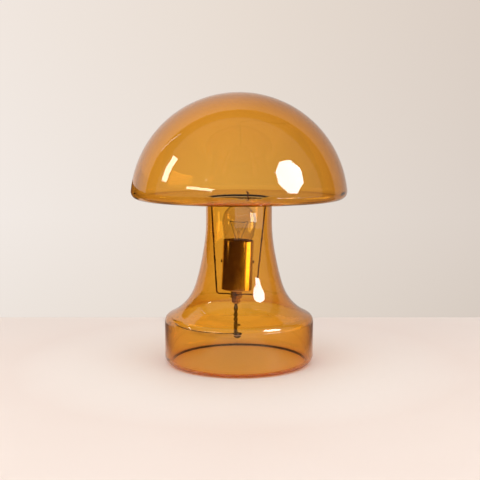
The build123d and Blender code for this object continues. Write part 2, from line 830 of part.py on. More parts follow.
with BuildPart() as switch_cover:
    add(switch_blank(switch_split, switch_h))
    fillet(switch_cover.edges().group_by(Axis.Z)[-1], switch_top_round)
    add(switch_blank(switch_split, switch_h - switch_wall, switch_wall), mode=Mode.SUBTRACT)
    with BuildSketch(Plane.XY.offset(switch_split)):
        with Locations(*screw_spots):
            Circle(screw_boss_r)
    extrude(amount=switch_h - switch_wall - switch_split)
    with BuildSketch(Plane.XY.offset(switch_split)):
        with Locations((switch_mid, switch_y)):
            Rectangle(rocker_l + 5, rocker_w + 4)
            Rectangle(rocker_l + 2 * rocker_gap, rocker_w + 2 * rocker_gap, mode=Mode.SUBTRACT)
    extrude(amount=switch_h - switch_wall - switch_split)
    with BuildSketch(cord_axis):
        Circle(cord_d / 2 + cord_fit)
    extrude(amount=switch_x[1] - switch_x[0], mode=Mode.SUBTRACT)
    with BuildSketch(Plane.XY.offset(switch_split)):
        with Locations((switch_mid, switch_y)):
            Rectangle(rocker_l + 2 * rocker_gap, rocker_w + 2 * rocker_gap)
    extrude(amount=switch_h, mode=Mode.SUBTRACT)
    with BuildSketch(Plane.XY.offset(switch_split)):
        with Locations(*screw_spots):
            Circle(switch_screw_r + GAP)
    extrude(amount=4.0, mode=Mode.SUBTRACT)
    with BuildSketch(rocker_plane):
        Circle(rocker_pin_r + GAP)
    extrude(amount=rocker_w / 2 + switch_wall, both=True, mode=Mode.SUBTRACT)

with BuildPart() as switch_screws:
    screw_plane = Plane.XY.offset(switch_screw_low)
    with BuildSketch(screw_plane):
        with Locations(*screw_spots):
            Circle(switch_screw_head_r)
    extrude(amount=switch_screw_head_h)
    with BuildSketch(screw_plane):
        with Locations(*screw_spots):
            Circle(switch_screw_r)
    extrude(amount=switch_screw_length)
    with BuildSketch(screw_plane):
        with Locations(*screw_spots):
            Rectangle(0.7, 3.4)
            Rectangle(3.4, 0.7)
    extrude(amount=switch_screw_head_h / 2, mode=Mode.SUBTRACT)

rest_lean = math.radians(rocker_throw_deg / 2)


def rocker_spot(x, z):
    """A point of the rocker's outline, turned to the side that it rests on."""
    turn_cos, turn_sin = math.cos(rest_lean), math.sin(rest_lean)
    return (x * turn_cos - z * turn_sin, x * turn_sin + z * turn_cos)


with BuildPart() as switch_rocker:
    half = rocker_l / 2 - 0.7
    with BuildSketch(rocker_plane):
        with BuildLine():
            Polyline(
                rocker_spot(-half, 5.9), rocker_spot(0, 4.5), rocker_spot(half, 5.9),
                rocker_spot(half - 0.5, 1.0), rocker_spot(2.6, -1.9),
                rocker_spot(-2.6, -1.9), rocker_spot(-half + 0.5, 1.0), close=True,
            )
        make_face()
    extrude(amount=rocker_w / 2, both=True)
    with BuildSketch(rocker_plane):
        Circle(rocker_pin_r)
    extrude(amount=rocker_w / 2 + switch_wall - 4 * GAP, both=True)

with BuildPart() as switch_contacts:
    with BuildSketch(Plane.XY.offset(switch_wall + GAP)):
        with Locations((switch_mid - 9, switch_y), (switch_mid + 9, switch_y)):
            Rectangle(10, 6)
    extrude(amount=1.0)
    with BuildSketch(Plane.XY.offset(switch_wall + 1.0)):
        with Locations((switch_mid - 12, switch_y), (switch_mid + 12, switch_y)):
            Rectangle(3.4, 6)
    extrude(amount=contact_z - switch_wall + 1.4)
    with BuildSketch(Plane.XY.offset(switch_wall + 1.0)):
        with Locations((switch_mid - 6, switch_y), (switch_mid + 6, switch_y)):
            Circle(1.3)
    extrude(amount=contact_z - switch_wall - 0.6)

# ---------------------------------------------------------------- plug
plug_axis = Plane(origin=(0, plug_y, plug_z), x_dir=(0, 1, 0), z_dir=(-1, 0, 0))
with BuildPart() as plug_body:
    with BuildSketch(plug_axis.offset(-plug_body_x[0])):
        RectangleRounded(plug_neck_w, plug_neck_h, plug_corner_r)
    with BuildSketch(plug_axis.offset(-plug_body_x[0] + plug_shoulder)):
        RectangleRounded(plug_w, plug_h, plug_corner_r)
    loft()
    front = plug_body.faces().sort_by(Axis.X)[0]
    extrude(front, amount=plug_body_x[0] - plug_shoulder - plug_body_x[1])
    fillet(plug_body.edges().group_by(Axis.X)[0], plug_edge_round)
    with BuildSketch(plug_axis.offset(-plug_body_x[1])):
        with Locations((-pin_spacing / 2, 0), (pin_spacing / 2, 0)):
            Circle(pin_r + GAP)
    extrude(amount=-pin_inside - GAP, mode=Mode.SUBTRACT)

with BuildPart() as plug_pins:
    with BuildSketch(plug_axis.offset(-plug_body_x[1] - pin_inside)):
        with Locations((-pin_spacing / 2, 0), (pin_spacing / 2, 0)):
            Circle(pin_r)
    extrude(amount=pin_length + pin_inside)
    chamfer(plug_pins.edges().group_by(Axis.X)[0], pin_r / 2 - GAP)

with BuildPart() as plug_relief:
    with BuildSketch(Plane(origin=(0, plug_y, plug_z), x_dir=(1, 0, 0), z_dir=(0, -1, 0))):
        with BuildLine():
            Polyline(
                (plug_relief_x[1] + GAP, 0), (plug_relief_x[1] + GAP, relief_r[0]),
                (plug_relief_x[0], relief_r[1]), (plug_relief_x[0], 0), close=True,
            )
        make_face()
        for number in range(relief_rings):
            groove_x = plug_relief_x[1] + relief_pitch * (number + 1)
            with Locations((groove_x, relief_r[0] - 0.3 * number)):
                Rectangle(0.4 * relief_pitch, 3.0, mode=Mode.SUBTRACT)
    revolve(axis=Axis((0, plug_y, plug_z), (1, 0, 0)))

# ---------------------------------------------------------------- write the pieces
pieces = {
    "base_glass": base_glass,
    "shade_glass": shade_glass,
    "rim_gasket": rim_gasket,
    "cord_grommet": cord_grommet,
    "hanger_yoke": hanger_yoke,
    "hanger_ring": hanger_ring,
    "holder_sleeve": holder_sleeve,
    "holder_cup": holder_cup,
    "contact_block": contact_block,
    "terminal_screws": terminal_screws,
    "holder_skirt": holder_skirt,
    "sleeve_screws": sleeve_screws,
    "screw_shell": screw_shell,
    "centre_contact": centre_contact,
    "threaded_nipple": threaded_nipple,
    "upper_lock_nut": upper_lock_nut,
    "lower_lock_nut": lower_lock_nut,
    "cord_grip": cord_grip,
    "grip_screw": grip_screw,
    "lead_wires": lead_wires,
    "inner_cord": inner_cord,
    "bulb_glass": bulb_glass,
    "bulb_cap": bulb_cap,
    "bulb_insulator": bulb_insulator,
    "bulb_tip": bulb_tip,
    "bulb_stem": bulb_stem,
    "bulb_filament": bulb_filament,
    "cord_lead": cord_lead,
    "cord_middle": cord_middle,
    "cord_coil": cord_coil,
    "cord_tail": cord_tail,
    "coil_tie": coil_tie,
    "switch_base": switch_base,
    "switch_cover": switch_cover,
    "switch_screws": switch_screws,
    "switch_rocker": switch_rocker,
    "switch_contacts": switch_contacts,
    "plug_body": plug_body,
    "plug_pins": plug_pins,
    "plug_relief": plug_relief,
}
for name, piece in pieces.items():
    piece.part.label = name
    export_step(piece.part, f"parts/{name}.step")
print(len(pieces), "pieces written")
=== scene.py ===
# %% [markdown]
# # A mushroom lamp in amber glass
# The lamp is a domed glass shade that stands on a bell-shaped glass base. A brass
# lampholder hangs in the neck from a bent wire, and a textile flex leaves at the back.
# The solids come ready made in one shared frame, in metres. This script adds what the
# eye needs: glass that bends and colours the light, a twisted flex, a strap, a coiled
# filament, and a plain studio with its lamps.

import math

import bmesh
import bpy
from mathutils import Matrix, Vector


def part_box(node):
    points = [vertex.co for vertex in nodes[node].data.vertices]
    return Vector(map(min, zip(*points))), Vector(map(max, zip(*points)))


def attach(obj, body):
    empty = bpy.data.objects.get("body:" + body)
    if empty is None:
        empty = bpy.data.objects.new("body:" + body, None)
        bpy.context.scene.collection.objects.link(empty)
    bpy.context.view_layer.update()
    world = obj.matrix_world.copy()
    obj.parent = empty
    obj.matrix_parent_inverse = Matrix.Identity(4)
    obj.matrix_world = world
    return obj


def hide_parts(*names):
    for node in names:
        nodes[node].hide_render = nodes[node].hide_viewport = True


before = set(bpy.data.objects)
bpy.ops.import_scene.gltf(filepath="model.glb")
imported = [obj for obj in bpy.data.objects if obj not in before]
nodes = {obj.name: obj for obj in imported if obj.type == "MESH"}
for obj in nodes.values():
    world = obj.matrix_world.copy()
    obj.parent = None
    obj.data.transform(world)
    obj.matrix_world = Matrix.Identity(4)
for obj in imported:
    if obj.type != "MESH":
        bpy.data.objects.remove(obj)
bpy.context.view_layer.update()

# %% [markdown]
# ## Camera
# The camera stands 1.3 m in front of the lamp, above its middle, with a long lens. The
# lens is set from the height of the lamp in the frame, and the tilt from how round its
# rims look.

# %% Camera
camera_data = bpy.data.cameras.new("camera")
camera_data.sensor_width = 36.0
camera_data.lens = 72.3
camera = bpy.data.objects.new("camera", camera_data)
camera.location = (0.0014, -1.333, 0.330)
camera.rotation_euler = (math.radians(90 - 6.8), 0, 0)
bpy.context.scene.collection.objects.link(camera)
bpy.context.scene.camera = camera
print("camera at", [round(v, 3) for v in camera.location], "lens", camera_data.lens)

# %% [markdown]
# ## The line of the flex
# A flex bends in one smooth line, so its route is a NURBS spline. The points are the
# corners of the route: straight out of the grommet, down to the table, round to the
# switch, then into the put-away coil and on to the plug. The coil's points come from a
# spiral that runs inwards on the lower layer, climbs, and runs outwards on the upper.

# %% Routes
HOLDER_LEAN = math.radians(2.2)
HOLDER_PIVOT = 0.194


def on_holder(x, y, h):
    """A point given in the lampholder's own leaning frame, in metres."""
    out = Vector((math.cos(HOLDER_LEAN), 0, -math.sin(HOLDER_LEAN)))
    up = Vector((math.sin(HOLDER_LEAN), 0, math.cos(HOLDER_LEAN)))
    return Vector((0, 0, HOLDER_PIVOT)) + out * x + Vector((0, y, 0)) + up * (h - HOLDER_PIVOT)


inner_route = [on_holder(0, 0, 0.088), on_holder(0, 0, 0.070)] + [
    Vector(p) for p in (
        (-0.0050, 0.010, 0.0525), (-0.0049, 0.029, 0.0385), (-0.0046, 0.051, 0.0285),
        (-0.0038, 0.074, 0.0205), (-0.0026, 0.091, 0.017), (-0.0026, 0.1075, 0.017),
    )
]
lead_route = [
    (-0.0026, 0.1075, 0.017), (-0.0026, 0.1205, 0.017), (-0.0075, 0.1345, 0.0120),
    (-0.018, 0.1455, 0.0065), (-0.0385, 0.159, 0.0042), (-0.0665, 0.1745, 0.0032),
    (-0.090, 0.198, 0.003), (-0.1085, 0.2305, 0.003), (-0.1205, 0.274, 0.003),
    (-0.125, 0.320, 0.003), (-0.116, 0.356, 0.003), (-0.093, 0.378, 0.003),
    (-0.067, 0.385, 0.0064), (-0.050, 0.386, 0.009), (-0.033, 0.386, 0.009),
]
middle_route = [
    (0.027, 0.386, 0.009), (0.047, 0.386, 0.009), (0.064, 0.3925, 0.006),
    (0.080, 0.400, 0.0037), (0.096, 0.400, 0.0037),
]
tail_route = [
    (0.096, 0.316, 0.0102), (0.080, 0.316, 0.0102), (0.063, 0.322, 0.0082),
    (0.046, 0.328, 0.007), (0.030, 0.328, 0.007),
]

COIL_CENTRE = (0.102, 0.358)
COIL_IN_R, COIL_PITCH = 0.0244, 0.0064
COIL_LOW, COIL_LAYER = 0.0037, 0.0065
COIL_STEPS_A_TURN, COIL_TURNS_EACH_WAY = 12, 2.75


def coil_point(turn):
    """A point of the coil. turn is 0 where it reverses, and runs from -2.75 to 2.75."""
    angle = turn * 2 * math.pi
    azimuth = math.pi / 2 - angle - COIL_TURNS_EACH_WAY * 2 * math.pi
    r = COIL_IN_R + COIL_PITCH * abs(turn)
    climb = 0.5 + 0.5 * math.sin(max(-math.pi / 2, min(math.pi / 2, angle)))
    return (
        COIL_CENTRE[0] + r * math.cos(azimuth),
        COIL_CENTRE[1] + r * math.sin(azimuth),
        COIL_LOW + COIL_LAYER * climb,
    )


coil_steps = round(COIL_STEPS_A_TURN * COIL_TURNS_EACH_WAY)
coil_route = [coil_point(i / COIL_STEPS_A_TURN) for i in range(-coil_steps, coil_steps + 1)]
outer_route = [Vector(p) for p in lead_route + middle_route + coil_route + tail_route]


def spline_line(name, route):
    """The points of the smooth line that a NURBS spline draws along a route."""
    data = bpy.data.curves.new(name, "CURVE")
    data.dimensions = "3D"
    data.resolution_u = 16
    spline = data.splines.new("NURBS")
    spline.points.add(len(route) - 1)
    for control, point in zip(spline.points, route):
        control.co = (*point, 1)
    spline.order_u = 3
    spline.use_endpoint_u = True
    curve = bpy.data.objects.new(name, data)
    mesh = bpy.data.meshes.new_from_object(curve)
    line = [v.co.copy() for v in mesh.vertices]
    bpy.data.objects.remove(curve)
    bpy.data.meshes.remove(mesh)
    return line


def evenly(line, step):
    """Points on a line at equal distances, and the line's length."""
    reached = [0.0]
    for a, b in zip(line, line[1:]):
        reached.append(reached[-1] + (b - a).length)
    count = max(2, round(reached[-1] / step))
    points, i = [], 0
    for n in range(count + 1):
        wanted = reached[-1] * n / count
        while i < len(line) - 2 and reached[i + 1] < wanted:
            i += 1
        share = (wanted - reached[i]) / (reached[i + 1] - reached[i])
        points.append(line[i].lerp(line[i + 1], share))
    return points, reached[-1]


print("route points:", len(inner_route), "inside and", len(outer_route), "outside the base")

# %% [markdown]
# ## Twisted textile flex
# The flex is two covered cores twisted round each other. One ring with two lobes is
# extruded from point to point along the line and turned a little each time, so the
# lobes wind like the real cores. Each ring is carried on from the last one without
# spinning about the line, which keeps the twist even in bends. The UV map runs in
# millimetres along the flex and once round it, for the braid.

# %% Flex
MM_IN_M = 1000
TWIST_PITCH = 0.021  # one whole turn of the two cores
CORE_R, CORE_OFF = 0.0019, 0.0010


def made_piece(name, bm):
    """Turns a finished bmesh into an object in the scene."""
    mesh = bpy.data.meshes.new(name)
    bm.to_mesh(mesh)
    bm.free()
    piece = bpy.data.objects.new(name, mesh)
    bpy.context.scene.collection.objects.link(piece)
    return piece


def lobed(angle):
    """The flex's radius in that direction: two round cores side by side."""
    across = CORE_OFF * math.sin(angle)
    return CORE_OFF * abs(math.cos(angle)) + math.sqrt(CORE_R**2 - across**2)


def places_along(points):
    """A place at each point that looks along the line and doesn't spin about it."""
    heading = (points[1] - points[0]).normalized()
    turn = heading.to_track_quat("Z", "Y").to_matrix()
    places = [Matrix.Translation(points[0]) @ turn.to_4x4()]
    for n in range(1, len(points)):
        ahead = points[min(n + 1, len(points) - 1)] - points[n - 1]
        turn = heading.rotation_difference(ahead).to_matrix() @ turn
        heading = ahead.normalized()
        places.append(Matrix.Translation(points[n]) @ turn.to_4x4())
    return places


def carry(bm, ring, places):
    """Extrudes a ring of edges from place to place. Gives the vertices of each new
    ring, and the edges of the last one."""
    rings = []
    for place, following in zip(places, places[1:]):
        new = bmesh.ops.extrude_edge_only(bm, edges=ring)["geom"]
        verts = [g for g in new if isinstance(g, bmesh.types.BMVert)]
        ring = [g for g in new if isinstance(g, bmesh.types.BMEdge)]
        bmesh.ops.transform(bm, matrix=following @ place.inverted(), verts=verts)
        rings.append(verts)
    return rings, ring


def twisted_flex(name, line, step=0.0013, sides=18):
    """Two twisted cores as one lobed tube, and the points that it follows."""
    points, length = evenly(line, step)
    last = len(points) - 1
    places = [
        place @ Matrix.Rotation(2 * math.pi * n * length / last / TWIST_PITCH, 4, "Z")
        for n, place in enumerate(places_along(points))
    ]
    bm = bmesh.new()
    along = bm.verts.layers.float.new("along")
    around = bm.verts.layers.float.new("around")
    bmesh.ops.create_circle(bm, segments=sides, radius=1.0)
    for v in bm.verts:
        angle = math.atan2(v.co.y, v.co.x)
        v[around] = (angle / (2 * math.pi)) % 1.0
        v.co *= lobed(angle)
    first = list(bm.edges)
    bmesh.ops.transform(bm, matrix=places[0], verts=list(bm.verts))
    rings, end = carry(bm, first, places)
    for n, verts in enumerate(rings, 1):
        for v in verts:
            v[along] = length * n / last
    uv = bm.loops.layers.uv.new("UVMap")
    for face in bm.faces:
        # A face on the seam has corners at both ends of the turn, and needs them at one.
        seam = max(v[around] for v in face.verts) > 0.75
        for loop in face.loops:
            turn_share = loop.vert[around]
            if seam and turn_share < 0.25:
                turn_share += 1.0
            loop[uv].uv = (loop.vert[along] * MM_IN_M, turn_share)
        face.smooth = True
    for edges in (first, end):
        bmesh.ops.contextual_create(bm, geom=edges)
    bmesh.ops.recalc_face_normals(bm, faces=bm.faces)
    piece = made_piece(name, bm)
    print(f"{name}: {length:.3f} m, {len(piece.data.polygons)} faces")
    return piece, points


inner_flex, inner_points = twisted_flex("inner_flex", spline_line("inner_line", inner_route))
outer_flex, outer_points = twisted_flex("outer_flex", spline_line("outer_line", outer_route))

# %% [markdown]
# ## Strap round the coil
# A short woven strap holds the coil. It starts as one edge as wide as the strap, which
# is extruded round the bundle of turns and on past its own start, where the two ends
# lie over each other. Solidify gives the webbing its thickness.

# %% Strap
STRAP_W, STRAP_T = 0.009, 0.0007
STRAP_CORNER_R, STRAP_CORNER_STEPS = 0.0032, 6
tie_low, tie_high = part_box("coil_tie")


def strap():
    """The strap, in the room of the solid that it stands for."""
    margin, r, y = STRAP_T / 2, STRAP_CORNER_R, COIL_CENTRE[1]
    x0, x1 = tie_low.x + margin, tie_high.x - margin
    z0, z1 = margin, tie_high.z - margin
    upper_end = (
        (x1 - 0.004, z1 + 0.0009), (x1 - 0.008, z1 + 0.0009), (x0 + 0.010, z1 + 0.0004),
        (x0 + 0.006, z1),
    )
    corners = (
        (x0 + r, z1 - r, 90), (x0 + r, z0 + r, 180), (x1 - r, z0 + r, 270), (x1 - r, z1 - r, 0),
    )
    run = [Vector((x, y, z)) for x, z in upper_end]
    for corner_x, corner_z, start in corners:
        for i in range(STRAP_CORNER_STEPS + 1):
            a = math.radians(start + 90 / STRAP_CORNER_STEPS * i)
            run.append(Vector((corner_x + r * math.cos(a), y, corner_z + r * math.sin(a))))
    run.append(Vector((x0 + 0.006, y, z1 - 0.0001)))
    bm = bmesh.new()
    ends = [bm.verts.new(run[0] + Vector((0, side * STRAP_W / 2, 0))) for side in (-1, 1)]
    edges = [bm.edges.new(ends)]
    along = bm.verts.layers.float.new("along")
    reached = 0.0
    for a, b in zip(run, run[1:]):
        reached += (b - a).length
        new = bmesh.ops.extrude_edge_only(bm, edges=edges)["geom"]
        verts = [g for g in new if isinstance(g, bmesh.types.BMVert)]
        edges = [g for g in new if isinstance(g, bmesh.types.BMEdge)]
        bmesh.ops.translate(bm, verts=verts, vec=b - a)
        for v in verts:
            v[along] = reached
    uv = bm.loops.layers.uv.new("UVMap")
    for face in bm.faces:
        face.smooth = True
        for loop in face.loops:
            loop[uv].uv = (loop.vert[along] * MM_IN_M, (loop.vert.co.y - y) * MM_IN_M)
    bmesh.ops.recalc_face_normals(bm, faces=bm.faces)
    piece = made_piece("coil_strap", bm)
    webbing = piece.modifiers.new("webbing", "SOLIDIFY")
    webbing.thickness = STRAP_T
    webbing.offset = 0
    print(f"coil_strap: {reached:.3f} m long")
    return piece


coil_strap = strap()

# %% [markdown]
# ## Coiled filament
# A bulb's filament is a very fine wire wound into a close coil, and the coil is bent
# into an arc that three thin hooks and two thicker leads hold. A helix round the arc
# gives the points, and a small ring is carried along them as the flex's ring is. The
# same helper draws the leads and the hooks, which have only two points each.

# %% Filament
FILAMENT_H, FILAMENT_R = 0.1975, 0.0125
ARC_FROM, ARC_TO = 190, 350  # degrees round the bulb's axis, open towards the back
COIL_WIRE_R, COIL_WOUND_R, COIL_WOUND_PITCH = 0.00009, 0.00042, 0.00036
POINTS_A_TURN = 8
LEAD_R, LEAD_ROOT_R, LEAD_ROOT_H = 0.00028, 0.0026, 0.171
HOOK_R, HOOK_ROOT_R, HOOK_ROOT_H = 0.00014, 0.002, 0.1826
HOOK_DEGREES = (230, 270, 310)


def drawn(bm, points, radius, sides=6):
    """Carries a ring along the points and closes its two ends."""
    places = places_along(points)
    verts = bmesh.ops.create_circle(bm, segments=sides, radius=radius)["verts"]
    first = list(dict.fromkeys(edge for v in verts for edge in v.link_edges))
    bmesh.ops.transform(bm, matrix=places[0], verts=verts)
    end = carry(bm, first, places)[1]
    for edges in (first, end):
        bmesh.ops.contextual_create(bm, geom=edges)


def round_bulb(degrees, r, h):
    """A point at that angle, distance and height on the bulb's own leaning axis."""
    angle = math.radians(degrees)
    return on_holder(r * math.cos(angle), r * math.sin(angle), h)


def filament():
    """The coiled wire on its arc, with its two leads and three hooks."""
    bm = bmesh.new()
    sweep = ARC_TO - ARC_FROM
    turns = round(math.radians(sweep) * FILAMENT_R / COIL_WOUND_PITCH)
    steps = POINTS_A_TURN * turns
    winding = []
    for i in range(steps + 1):
        phase = 2 * math.pi * i / POINTS_A_TURN
        r = FILAMENT_R + COIL_WOUND_R * math.cos(phase)
        h = FILAMENT_H + COIL_WOUND_R * math.sin(phase)
        winding.append(round_bulb(ARC_FROM + sweep * i / steps, r, h))
    drawn(bm, winding, COIL_WIRE_R, sides=5)
    for degrees in (ARC_FROM, ARC_TO):
        root = round_bulb(degrees, LEAD_ROOT_R, LEAD_ROOT_H)
        drawn(bm, [root, round_bulb(degrees, FILAMENT_R, FILAMENT_H)], LEAD_R, sides=8)
    for degrees in HOOK_DEGREES:
        root = round_bulb(degrees, HOOK_ROOT_R, HOOK_ROOT_H)
        tip = round_bulb(degrees, FILAMENT_R, FILAMENT_H - COIL_WOUND_R)
        drawn(bm, [root, tip], HOOK_R)
    bmesh.ops.recalc_face_normals(bm, faces=bm.faces)
    for face in bm.faces:
        face.smooth = True
    piece = made_piece("coiled_filament", bm)
    print("coiled_filament:", turns, "turns,", len(piece.data.polygons), "faces")
    return piece


coiled_filament = filament()

# %% [markdown]
# ## Writing finishes as sums
# A shader is arithmetic on patterns. `Signal` wraps one output of a node and overloads
# the usual operators, so `1 - mask` adds a Math node by itself, and its `output` gives
# another output of the same node. `Finish` is one material, and its `add` makes any
# other node from its type, settings and sockets.

# %% Signals and finishes
def srgb(red, green, blue):
    """A colour read off a screen, as the linear values that a shader takes."""
    return tuple(
        c / 12.92 if c <= 0.04045 else ((c + 0.055) / 1.055) ** 2.4
        for c in (red / 255, green / 255, blue / 255)
    ) + (1.0,)


class Signal:
    """One output of a node. Arithmetic on it adds Math nodes to its finish."""

    def __init__(self, finish, socket):
        self.finish, self.socket = finish, socket

    def output(self, name):
        """Another output of the same node, by its name or number."""
        return Signal(self.finish, self.socket.node.outputs[name])

    def __add__(self, other):
        return self.finish.maths("ADD", self, other)

    def __mul__(self, other):
        return self.finish.maths("MULTIPLY", self, other)

    def __sub__(self, other):
        return self.finish.maths("SUBTRACT", self, other)

    def __rsub__(self, other):
        return self.finish.maths("SUBTRACT", other, self)

    def __gt__(self, other):
        return self.finish.maths("GREATER_THAN", self, other)

    __radd__, __rmul__ = __add__, __mul__


class Finish:
    """A material and the nodes that make it."""

    def __init__(self, name):
        self.material = bpy.data.materials.new(name)
        self.material.use_nodes = True
        self.tree = self.material.node_tree
        self.tree.nodes.clear()
        self.end = self.tree.nodes.new("ShaderNodeOutputMaterial")

    def add(self, kind, settings=None, sockets=None, output=0):
        """A new node with these settings and inputs. stops are the colours of a ramp."""
        node = self.tree.nodes.new(kind)
        for name, value in (settings or {}).items():
            if name == "stops":
                ramp = node.color_ramp
                while len(ramp.elements) < len(value):
                    ramp.elements.new(1.0)
                for element, (position, colour) in zip(ramp.elements, value):
                    element.position, element.color = position, colour
            else:
                setattr(node, name, value)
        for name, value in (sockets or {}).items():
            if isinstance(value, Signal):
                self.tree.links.new(value.socket, node.inputs[name])
            else:
                node.inputs[name].default_value = value
        return Signal(self, node.outputs[output])

    def maths(self, operation, *values):
        return self.add("ShaderNodeMath", {"operation": operation}, dict(enumerate(values)))

    def mix(self, factor, one, other):
        """Colour one where the factor is 0, and colour other where it is 1."""
        return self.add(
            "ShaderNodeMix", {"data_type": "RGBA"}, {0: factor, 6: one, 7: other}, 2
        )

    def place(self, scale=(1, 1, 1)):
        """Object coordinates for a pattern, scaled."""
        where = self.add("ShaderNodeTexCoord", None, None, "Object")
        return self.add("ShaderNodeMapping", None, {"Vector": where, "Scale": scale})

    def noise(self, scale, detail=2.0, rough=0.5, on=None):
        return self.add(
            "ShaderNodeTexNoise", None,
            {"Vector": on or self.place(), "Scale": scale, "Detail": detail, "Roughness": rough},
        )

    def ramp(self, factor, *stops):
        return self.add("ShaderNodeValToRGB", {"stops": stops}, {"Fac": factor})

    def spread(self, factor, low, high, to_low=0.0, to_high=1.0):
        """The factor from low to high, spread over to_low to to_high."""
        return self.add(
            "ShaderNodeMapRange", None,
            {"Value": factor, "From Min": low, "From Max": high,
             "To Min": to_low, "To Max": to_high},
        )

    def bump(self, height, distance):
        return self.add("ShaderNodeBump", None, {"Height": height, "Distance": distance})

    def surface(self, shader):
        self.tree.links.new(shader.socket, self.end.inputs["Surface"])
        return self

    def principled(self, **sockets):
        names = {name.replace("_", " "): value for name, value in sockets.items()}
        return self.add("ShaderNodeBsdfPrincipled", None, names)

    def dress(self, *pieces):
        """Puts the finish on CAD nodes, given by name, or on pieces."""
        for piece in pieces:
            piece = nodes[piece] if isinstance(piece, str) else piece
            if not piece.material_slots:
                piece.data.materials.append(self.material)
            for slot in piece.material_slots:
                slot.material = self.material


# %% [markdown]
# ## Amber glass
# Tinted glass has hardly any colour on its surface. Light is bent there and loses blue,
# then green, on its way through the wall, so thick or slanting walls look deeper and
# redder. Volume Absorption does that: its colour and density say how fast each channel
# fades. Where the surface slants away from the eye its colour is darkened as well, a
# painted shade that draws the outline. Refracting glass would keep the lamps' light out,
# so rays for shadow and for soft light pass it straight, with a slight loss. A faint
# ripple is left from the mould.

# %% Glass
# painted shade: the share of the surface's colour kept at the outline
PAINTED_EDGE_SHADE_SHARE = 0.50  # of the surface's colour, where it slants away
SLANT_FROM, SLANT_TO = 0.50, 0.88  # 0 faces the eye, and 1 is edge on
PASSED_STRAIGHT = (0.88, 0.88, 0.90, 1)
RIPPLE_SCALE = 9.0


def glass(name, fading, ripple=0.0, surface=(1, 1, 1, 1)):
    """Clear glass. fading holds the rates, per metre, at which red, green and blue go."""
    finish = Finish(name)
    slanting = finish.add("ShaderNodeLayerWeight", None, {"Blend": 0.5}, "Facing")
    edge = tuple(PAINTED_EDGE_SHADE_SHARE * c for c in surface[:3]) + (1.0,)
    # The colour is darkened where the surface slants away from the eye: painted shade along the
    # outline.
    tone_with_painted_shading = finish.mix(finish.spread(slanting, SLANT_FROM, SLANT_TO), surface, edge)
    sockets = {"Base_Color": tone_with_painted_shading, "Roughness": 0.0, "IOR": 1.5, "Transmission_Weight": 1.0}
    if ripple:
        sockets["Normal"] = finish.bump(finish.noise(RIPPLE_SCALE, detail=1.0), ripple)
    body = finish.principled(**sockets)
    density = max(fading)
    if density > 0:
        tint = tuple(1 - rate / density for rate in fading) + (1.0,)
        tinted = finish.add("ShaderNodeVolumeAbsorption", None, {"Color": tint, "Density": density})
        finish.tree.links.new(tinted.socket, finish.end.inputs["Volume"])
    see_through = finish.add("ShaderNodeBsdfTransparent", None, {"Color": PASSED_STRAIGHT})
    shadow_ray = finish.add("ShaderNodeLightPath", None, None, "Is Shadow Ray")
    straight = finish.maths("MAXIMUM", shadow_ray, shadow_ray.output("Is Diffuse Ray"))
    return finish.surface(
        finish.add("ShaderNodeMixShader", None, {0: straight, 1: body, 2: see_through})
    )


amber_glass = glass("amber_glass", (18, 130, 480), ripple=0.00003)
clear_glass = glass("clear_glass", (0, 0, 0), surface=(0.90, 0.86, 0.84, 1))
amber_glass.dress("shade_glass", "base_glass")
clear_glass.dress("bulb_glass", "bulb_stem")

# %% [markdown]
# ## Metals
# The sleeve is turned brass that has dulled a little: fine rings from the lathe, and
# cloudy patches where the polish has gone. The nipple, its nuts and the cord grip get a
# darker, browner copy of the brass: painted shade that stands in for dark reflections.
# The wires and the sleeve's side screws are darkened steel, and the plug's pins and the
# bulb's cap are nickelled. Metal shows by its roughness more than by its colour.

# %% Metals
LATHE_RINGS = 0.00001  # their height in metres


def metal(name, colour, rough, dull, rings=0.0, scale=220.0, dulled=None):
    """A metal with dull patches and, where asked, fine rings from turning."""
    finish = Finish(name)
    patches = finish.noise(scale, detail=5.0, rough=0.65)
    roughness = finish.spread(patches, 0.3, 0.75, rough, dull)
    shade = finish.mix(finish.spread(patches, 0.45, 0.8), colour, dulled or colour)
    sockets = {"Base_Color": shade, "Metallic": 1.0, "Roughness": roughness}
    if rings:
        turned = finish.noise(1.0, detail=3.0, on=finish.place((8, 8, 9000)))
        sockets["Normal"] = finish.bump(turned, rings)
    return finish.surface(finish.principled(**sockets))


brass = metal(
    "turned_brass", (0.80, 0.60, 0.28, 1), 0.13, 0.24, LATHE_RINGS,
    dulled=(0.66, 0.46, 0.18, 1),
)
# A darker copy of the brass for the nipple, nuts and grip: painted shade.
shaded_brass = metal(
    "shaded_brass", (0.46, 0.28, 0.09, 1), 0.16, 0.30, LATHE_RINGS,
    dulled=(0.34, 0.19, 0.06, 1),
)
contact_brass = metal("contact_brass", (0.80, 0.60, 0.30, 1), 0.25, 0.42, scale=500.0)
dark_steel = metal(
    "dark_steel", (0.20, 0.12, 0.07, 1), 0.20, 0.38, scale=500.0,
    dulled=(0.09, 0.055, 0.035, 1),
)
nickel = metal("nickel", (0.74, 0.72, 0.68, 1), 0.16, 0.32, scale=400.0)
solder = metal("solder", (0.55, 0.55, 0.56, 1), 0.32, 0.50, scale=600.0)
tungsten = metal("tungsten", (0.26, 0.25, 0.25, 1), 0.35, 0.50, scale=900.0)
brass.dress("holder_sleeve")
shaded_brass.dress("threaded_nipple", "cord_grip", "upper_lock_nut", "lower_lock_nut")
contact_brass.dress(
    "screw_shell", "centre_contact", "terminal_screws", "switch_contacts", "grip_screw",
    "switch_screws",
)
dark_steel.dress("hanger_yoke", "hanger_ring", "sleeve_screws")
nickel.dress("plug_pins", "bulb_cap")
solder.dress("bulb_tip")
tungsten.dress(coiled_filament)

# %% [markdown]
# ## Porcelain, plastics and rubber
# The lampholder's inside is unglazed porcelain, slightly speckled. Switch and plug are
# moulded in black plastic with the fine grain of a spark-eroded mould, and the grommet
# and core covers are soft and matt. The clear ring under the shade lets some light
# through and is cloudy.

